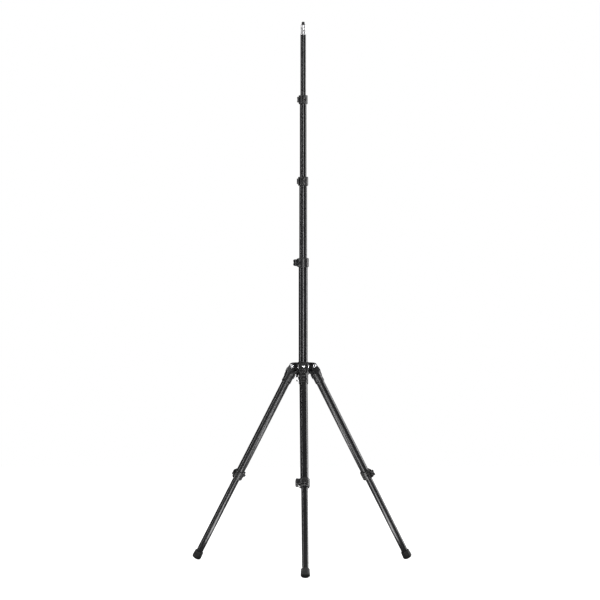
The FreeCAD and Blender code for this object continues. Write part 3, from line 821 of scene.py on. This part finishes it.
for name, place in legs.items():
    node = f"leg_foot_{name}"
    piece(node + "_rubber", [foot_grid(place, node)], place, body_of_node[node], [node],
          rubber, sharp=60)

# %% [markdown]
# ## Hub
# The hub is a casting round the base tube with three lugs. Its sleeve is turned, with a broken top
# edge, a raised bead and two grooves. Each lug is a plate as thick as the fork is wide inside, with a
# round nose about the hinge bolt and a flat top. A web below carries the load back into the sleeve,
# and a small eye on one side holds the ring.

# %% Hub surface
HUB = {"radius": 19.5 * mm, "hinge": math.hypot(legs["front"][0][0], legs["front"][0][1]),
       "lug": 11.5 * mm, "half": 10.0 * mm, "top": hinge_height + 13.5 * mm,
       "bottom": hinge_height - 30.5 * mm, "root": 15.3 * mm}
ring_joint = joints["hook_ring_swing"]
ring_pin = np.array(ring_joint["pos_m"])
ring_out = math.hypot(ring_pin[0], ring_pin[1])


def about_column(azimuth, height=0.0):
    """A frame on the column's axis with X turned to an azimuth."""
    c, s = math.cos(azimuth), math.sin(azimuth)
    return np.array([0, 0, height]), np.array([[c, s, 0], [-s, c, 0], [0, 0, 1.0]])


def turned_about(grid_ring, azimuth):
    """A grid turned about the column."""
    grid, ring = grid_ring
    return to_world(grid, about_column(azimuth)), ring


def hub_grids():
    """Sleeve, three lugs with their webs, and the ring's eye."""
    h = HUB
    r = h["radius"]
    sleeve_line = [(r - 5 * mm, h["bottom"]), (r - 1.3 * mm, h["bottom"]), (r, h["bottom"] + 1.5 * mm),
                   (r, h["bottom"] + 14 * mm), (r - 0.8 * mm, h["bottom"] + 14.8 * mm),
                   (r - 0.8 * mm, h["bottom"] + 16.2 * mm), (r, h["bottom"] + 17 * mm),
                   (r, h["top"] - 4.2 * mm), (r - 0.8 * mm, h["top"] - 3.6 * mm),
                   (r - 0.8 * mm, h["top"] - 3.0 * mm), (r, h["top"] - 2.4 * mm),
                   (r, h["top"] - 1.5 * mm), (r - 1.5 * mm, h["top"]), (r - 4.4 * mm, h["top"]),
                   (r - 4.4 * mm, h["bottom"] + 5 * mm)]
    grids = [turned_ring(soften(sleeve_line, 0.35 * mm, 3), 96)]
    a = np.linspace(-np.pi / 2, np.pi / 2, 30)
    nose = np.stack([h["hinge"] + h["lug"] * np.cos(a), hinge_height + h["lug"] * np.sin(a)], -1)
    back = np.array([(h["root"], hinge_height + h["lug"]), (h["root"], hinge_height - h["lug"])])
    lug = slab(np.vstack([nose, back]), -h["half"], h["half"], 1.1 * mm, STAND_XZ)
    web_line = soften([(h["root"], h["bottom"] + 3 * mm), (r + 0.5 * mm, h["bottom"] + 3 * mm),
                       (h["hinge"] - 7 * mm, hinge_height - h["lug"] + 1 * mm),
                       (h["root"], hinge_height - h["lug"] + 1 * mm)], 1 * mm, 4)
    web = slab(web_line, -h["half"] + 3 * mm, h["half"] - 3 * mm, 1.0 * mm, STAND_XZ)
    for fold in ("front", "right", "left"):
        out = legs[fold][0]
        azimuth = math.atan2(out[1], out[0])
        grids += [turned_about(lug, azimuth), turned_about(web, azimuth)]
    eye = rectangle(-4 * mm, 4 * mm, -4 * mm, 20 * mm, [3.9 * mm, 3.9 * mm, 0.8 * mm, 0.8 * mm], 9)
    tall = ring_pin[2]
    hole_a = np.linspace(0, 2 * np.pi, 40, endpoint=False)
    hole = np.stack([2.4 * mm * np.cos(hole_a), 2.4 * mm * np.sin(hole_a)], -1)
    reach = np.stack([np.cos(hole_a), np.sin(hole_a)], -1)
    over, beside = reach[:, 1], np.abs(reach[:, 0])
    limit = np.where(over > 0, 14.9 * mm / np.maximum(over, 1e-3), 4 * mm)
    limit = np.minimum(limit, np.where(over > 0, 4 * mm / np.maximum(beside, 1e-3), 4 * mm))
    rim = reach * limit[:, None]
    half = 1.5 * mm
    bevel = 0.3 * mm
    wall = np.stack([np.concatenate([hole, [[0, 0]]])[:-1], hole, rim - reach * bevel, rim, rim,
                     rim - reach * bevel, hole, hole], 1)[:, 1:7]
    depth = np.array([-half, -half, -half + bevel, half - bevel, half, half])
    x = ring_out + wall[..., 0]
    z = tall + wall[..., 1]
    y = np.broadcast_to(depth[None], x.shape)
    grids.append(turned_about((np.stack([x, y, z], -1), True), math.atan2(ring_pin[1], ring_pin[0])))
    strap = slab(rectangle(15.5 * mm, ring_out + 3.9 * mm, tall + 5 * mm, h["bottom"] + 6 * mm, 0.8 * mm),
                 -half, half, 0.4 * mm, STAND_XZ)
    grids.append(turned_about(strap, math.atan2(ring_pin[1], ring_pin[0])))
    return grids


piece("hub_cast", hub_grids(), column, "base", ["hub"], powder_coat)


def nose_plate_grid():
    """A thin plate bent round the front lug's nose: radius over the nose's, turned a few degrees up
    and down from level, and as wide as the flat of the lug. Rows run across it, each a closed loop."""
    thick, half = 0.25 * mm, 4.4 * mm
    a = np.radians(np.linspace(-8, 8, 9))
    r_in, r_out = HUB["lug"] - 0.05 * mm, HUB["lug"] + thick
    outline = np.vstack([np.stack([HUB["hinge"] + r_out * np.cos(a), hinge_height + r_out * np.sin(a)], -1),
                         np.stack([HUB["hinge"] + r_in * np.cos(a[::-1]),
                                   hinge_height + r_in * np.sin(a[::-1])], -1)])
    grid, ring = slab(outline, -half, half, 0.08 * mm, STAND_XZ)
    out = legs["front"][0]
    return turned_about((grid, ring), math.atan2(out[1], out[0]))


piece("hub_front_plate", [nose_plate_grid()], column, "base", ["hub"], zinc_plate)
print("hub height", round((HUB["top"] - HUB["bottom"]) / mm, 1), "mm")

# %% [markdown]
# The hinge bolts are bright, with low domed heads and a six-sided socket. A head is a surface in
# radius and angle: the height is a shallow dome, and inside the socket it drops. The socket's
# outline is a hexagon, whose radius at an angle is its half width over the cosine of the angle from
# the nearest flat's middle. So the rows of the head are placed on that outline where the wall falls.

# %% Hinge bolt surface
BOLT = {"shank": 4.0 * mm, "head": 6.3 * mm, "tall": 3.0 * mm, "seat": 16.6 * mm, "socket": 2.5 * mm}


def bolt_head(way):
    """Rows run from under the head, over the dome and down into the socket."""
    b = BOLT
    a = np.linspace(0, 2 * np.pi, 48, endpoint=False)
    step = np.pi / 3
    hexagon = b["socket"] / np.cos((a + step / 2) % step - step / 2)
    circle = np.ones_like(a)
    q = np.linspace(0, 1, 9)
    dome_r = b["head"] * np.cos(q * 0.36 * np.pi)
    dome_z = 1.2 * mm + (b["tall"] - 1.2 * mm) * np.sin(q * 0.36 * np.pi) / math.sin(0.36 * np.pi)
    radii = [b["shank"] * circle, (b["head"] - 0.3 * mm) * circle, b["head"] * circle]
    heights = [0.0, 0.0, 0.3 * mm]
    radii += [r * circle for r in dome_r[:-1]] + [hexagon + 0.35 * mm, hexagon, hexagon, hexagon * 0.1]
    heights += list(dome_z[:-1]) + [b["tall"] - drop * mm for drop in (0, 0.15, 1.6, 1.9)]
    r = np.stack(radii)
    z = np.array(heights)[:, None] + 0 * r
    return np.stack([r * np.cos(a), way * (b["seat"] + z), r * np.sin(a)], -1), False


def hinge_bolt_grids():
    """For each leg: a shank through the fork and a head on both ends, about the hinge."""
    grids = []
    for name, (origin, axes) in legs.items():
        shank, _ = turned([(0.2 * mm, -BOLT["seat"]), (BOLT["shank"], -BOLT["seat"]),
                           (BOLT["shank"], BOLT["seat"]), (0.2 * mm, BOLT["seat"])], 40)
        parts = [(shank[..., [0, 2, 1]], False), bolt_head(1.0), bolt_head(-1.0)]
        grids += [(to_world(g, (origin, axes)), ring) for g, ring in parts]
    return grids


piece("hinge_bolts_domed", hinge_bolt_grids(), column, "base", ["hinge_bolts"], zinc_plate)

# %% [markdown]
# ## Spigot, cap, end cap and ring
# The spigot is turned from bar: a thin flange, a plain stud, a clamp groove with sloping sides and a
# broken top edge. Its cap is a soft moulding with a round top on a thin skirt. Both are outlines of
# radius and height turned once. The ring is a wire bent to a circle: a circle carried round a circle.

# %% Spigot and small parts
spigot_low, spigot_high = (c[2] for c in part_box("spigot"))
tube_top = tube_size("column_tube_1", column)[2]
SPIGOT = {"radius": 8.0 * mm, "flange": 9.8 * mm, "flange_tall": 2.0 * mm, "length": 32.0 * mm,
          "groove": 11.5 * mm, "half": 2.2 * mm, "deep": 1.5 * mm, "stud": 3.1 * mm, "pitch": 1.27 * mm}
CAP = {"radius": 5.3 * mm, "bend": 3.7 * mm, "skirt": 6.6 * mm, "bore": 3.15 * mm, "deep": 9.1 * mm,
       "grip": 1.1 * mm}


def spigot_grid():
    """Outline from the plug in the tube up to the threaded stud."""
    s = SPIGOT
    base = tube_top + s["flange_tall"]
    top = base + s["length"]
    mid = base + s["groove"]
    plug = column_radius[0] - TUBE_WALL
    body = soften([(0.3 * mm, spigot_low), (plug, spigot_low), (plug, tube_top), (s["flange"], tube_top),
                   (s["flange"], base), (s["radius"], base), (s["radius"], mid - s["half"]),
                   (s["radius"] - s["deep"], mid - s["half"] + s["deep"]),
                   (s["radius"] - s["deep"], mid + s["half"] - s["deep"]), (s["radius"], mid + s["half"]),
                   (s["radius"], top - 1 * mm), (s["radius"] - 1 * mm, top), (s["stud"], top)], 0.35 * mm, 5,
                  closed=False)
    turns = np.linspace(top + 0.4 * mm, spigot_high - 0.6 * mm, 70)
    groove = 0.5 - 0.5 * np.cos(2 * np.pi * (turns - top) / s["pitch"])
    thread = np.stack([s["stud"] - 0.35 * mm * groove, turns], -1)
    tip = np.array([(2.4 * mm, spigot_high), (0.3 * mm, spigot_high)])
    return turned(np.vstack([body, thread, tip]), 72)


def cap_grid():
    """A bell: thin skirt, straight side with fine grip rings and a round crown, hollow inside."""
    low, high = (c[2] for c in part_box("spigot_cap"))
    q = np.linspace(0.08, np.pi / 2, 14)
    bend, skirt_out = CAP["bend"], CAP["skirt"]
    crown = np.stack([CAP["radius"] - bend * (1 - np.sin(q[::-1])), high - bend * (1 - np.cos(q[::-1]))], -1)
    z = np.linspace(low + 1.6 * mm, high - 4.2 * mm, 24)
    wave = 0.5 - 0.5 * np.cos(2 * np.pi * (z - z[0]) / CAP["grip"])
    side = np.stack([CAP["radius"] - 0.18 * mm * wave, z], -1)
    skirt = soften([(3.3 * mm, low), (skirt_out, low), (skirt_out, low + 1.2 * mm),
                    (5.4 * mm, low + 1.4 * mm)], 0.35 * mm, 4, closed=False)
    hollow = np.array([(0.4 * mm, high)])
    bore_top = low + CAP["deep"]
    inside = np.array([(0.4 * mm, bore_top), (CAP["bore"], bore_top), (CAP["bore"], low + 0.3 * mm)])
    return turned(np.vstack([inside, skirt, side, crown, hollow]), 64)


def end_cap_grid():
    """A flanged plug: plain disc below the tube, tapered plug inside it."""
    low, high = (c[2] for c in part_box("column_end_cap"))
    r = column_radius[3]
    inside = r - TUBE_WALL
    rim, disc = r + 1 * mm, low + 3 * mm
    outline = soften([(0.4 * mm, low), (r - 1.5 * mm, low), (rim, low + 1.2 * mm), (rim, disc),
                      (inside, disc), (inside - 0.2 * mm, high), (inside - 2 * mm, high),
                      (inside - 2 * mm, disc), (0.4 * mm, disc)], 0.6 * mm, 5, closed=False)
    return turned(outline, 72)


def ring_grid():
    """Wire radius w about a circle of radius R: out by w cos q from the circle, across by w sin q."""
    wire, big = 1.5 * mm, 8.0 * mm
    a = np.linspace(0, 2 * np.pi, 72, endpoint=False)[:, None]
    q = np.linspace(0, 2 * np.pi, 20, endpoint=False)[None]
    out = big + wire * np.cos(q)
    grid = np.stack([ring_out + wire * np.sin(q) + 0 * a, out * np.cos(a),
                     ring_pin[2] - big + out * np.sin(a)], -1)
    return turned_about((grid, True), math.atan2(ring_pin[1], ring_pin[0]))


piece("spigot_turned", [spigot_grid()], column, body_of_node["spigot"], ["spigot"],
      turned_bright)
piece("spigot_cap_moulded", [cap_grid()], column, "spigot_cap", ["spigot_cap"], nylon_black)
piece("column_end_cap_moulded", [end_cap_grid()], column, "base", ["column_end_cap"],
      nylon_black)
piece("hook_ring_wire", [ring_grid()], column, "hook_ring", ["hook_ring"], zinc_plate)
print("spigot stud", SPIGOT["radius"] * 2 / mm, "mm across")

# %% [markdown]
# The bushes, sleeves and grub screws already have their true shapes and sit inside other pieces, so
# they stay as packed and only get their finishes.

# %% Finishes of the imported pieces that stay
kept = {"column_bush": bush_nylon, "leg_bush": bush_nylon, "column_liner": bush_nylon,
        "leg_liner": bush_nylon, "hub_grub_screws": black_oxide}
for node, obj in frame["nodes"].items():
    for start, material in kept.items():
        if node.startswith(start):
            obj.data.materials.clear()
            obj.data.materials.append(material)
print("kept as packed:", sum(n.startswith(tuple(kept)) for n in frame["nodes"]))

# %% [markdown]
# ## Floor, light and camera
# The floor glows white to the camera alone, and so does the world, so that the dark stand isn't
# washed out by a bright room: what the pieces mirror is a grey floor and the lights. A tall strip near
# the camera draws the line down the middle of each tube, a big soft light behind on the right gives
# the pale right-hand edge, and a narrow strip on the left gives the faint left line. The side legs
# lean, so they mirror the floor in front; two strips lie there and draw the line along each. A wide
# light above softens the shadows. The camera stands far off with a long lens, a little above half the
# stand's height, and looks slightly down.

# %% Floor
pale, tree, shader = start_material("pale_floor")
floor_noise = add(tree, "ShaderNodeTexNoise", [("Vector", object_place(tree)), ("Scale", 3.0),
                                               ("Detail", 2.0)])
tree.links.new(two_tone(tree, floor_noise.outputs["Fac"], (0.26, 0.26, 0.26), (0.30, 0.30, 0.30)),
               shader.inputs["Base Color"])
shader.inputs["Roughness"].default_value = 0.8
shader.inputs["Emission Color"].default_value = (1, 1, 1, 1)
straight = add(tree, "ShaderNodeLightPath")
tree.links.new(straight.outputs["Is Camera Ray"], shader.inputs["Emission Strength"])

FLOOR_HALF = 3.5
line = np.linspace(-FLOOR_HALF, FLOOR_HALF, 8)
FLOOR_BACK = 1.0
floor_x, floor_y = np.meshgrid(line, line + FLOOR_BACK, indexing="ij")
index = np.arange(floor_x.size).reshape(floor_x.shape)
quads = np.stack([index[:-1, :-1], index[1:, :-1], index[1:, 1:], index[:-1, 1:]], -1).reshape(-1, 4)
floor_mesh = bpy.data.meshes.new("floor")
corners = np.stack([floor_x, floor_y, 0 * floor_x], -1).reshape(-1, 3)
floor_mesh.from_pydata(corners.tolist(), [], quads.tolist())
floor_mesh.materials.append(pale)
floor = bpy.data.objects.new("floor", floor_mesh)
bpy.context.scene.collection.objects.link(floor)

# %% Lights
def soft_light(name, place, target, width, height, power, up=(0.0, 0.0, 1.0)):
    """A rectangular area light aimed at a point, its height along up."""
    lamp = bpy.data.lights.new(name, "AREA")
    lamp.shape = "RECTANGLE"
    lamp.size, lamp.size_y, lamp.energy = width, height, power
    obj = bpy.data.objects.new(name, lamp)
    bpy.context.scene.collection.objects.link(obj)
    obj.location = place
    aim = unit(np.array(target) - np.array(place))
    side = unit(np.cross(aim, up))
    obj.rotation_euler = turn_of(side, np.cross(side, aim), -aim)
    obj.visible_camera = False
    return obj


def turn_of(x, y, z):
    """The Euler turn whose axes are x, y and z."""
    return Matrix(np.column_stack([x, y, z]).tolist()).to_euler()


middle = (0.0, 0.0, 0.95)
soft_light("front_strip", (0.35, -4.6, 1.1), middle, 0.45, 3.6, 260)
soft_light("side_right", (2.9, 0.9, 1.1), middle, 1.5, 3.4, 160)
soft_light("strip_left", (-2.9, -0.8, 1.1), middle, 0.3, 3.4, 70)
LOW = {"near": np.array([0.27, 0.15]), "far": np.array([-0.05, -1.35]), "height": 0.012, "width": 0.12}
low_way = LOW["near"] - LOW["far"]
low_middle = (LOW["near"] + LOW["far"]) / 2
for side, name in ((-1, "low_left"), (1, "low_right")):
    x, y = low_middle * [side, 1]
    soft_light(name, (x, y, LOW["height"]), (x, y, 1.0), LOW["width"], float(np.hypot(*low_way)), 11,
               up=(low_way[0] * side, low_way[1], 0.0))
soft_light("overhead", (0.0, 0.8, 4.8), (0.0, 0.8, 0.0), 5.0, 6.0, 190, up=(0.0, 1.0, 0.0))

world = bpy.data.worlds.new("studio")
bpy.context.scene.world = world
world.use_nodes = True
around = world.node_tree.nodes["Background"]
seen = world.node_tree.nodes.new("ShaderNodeLightPath")
room = world.node_tree.nodes.new("ShaderNodeMapRange")
room.inputs["To Min"].default_value = 0.06
room.inputs["To Max"].default_value = 1.0
world.node_tree.links.new(seen.outputs["Is Camera Ray"], room.inputs["Value"])
world.node_tree.links.new(room.outputs["Result"], around.inputs["Strength"])
around.inputs["Color"].default_value = (1, 1, 1, 1)
bpy.context.scene.view_settings.view_transform = "Standard"

# %% Camera
CAMERA = {"distance": 12.6, "height": 1.283, "turn": math.radians(1.0), "down": math.radians(1.672),
          "aside": math.radians(-0.0494), "lens": 219.9, "sensor": 36.0, "far_clip": 60.0}
lens = bpy.data.cameras.new("camera")
lens.lens = CAMERA["lens"]
lens.sensor_width = CAMERA["sensor"]
lens.clip_end = CAMERA["far_clip"]
camera = bpy.data.objects.new("camera", lens)
bpy.context.scene.collection.objects.link(camera)
turn = CAMERA["turn"]
away = CAMERA["distance"]
camera.location = (-away * math.sin(turn), -away * math.cos(turn), CAMERA["height"])
camera.rotation_euler = (math.pi / 2 - CAMERA["down"], 0.0, -turn - CAMERA["aside"])
bpy.context.scene.camera = camera
print("camera", [round(c, 3) for c in camera.location])
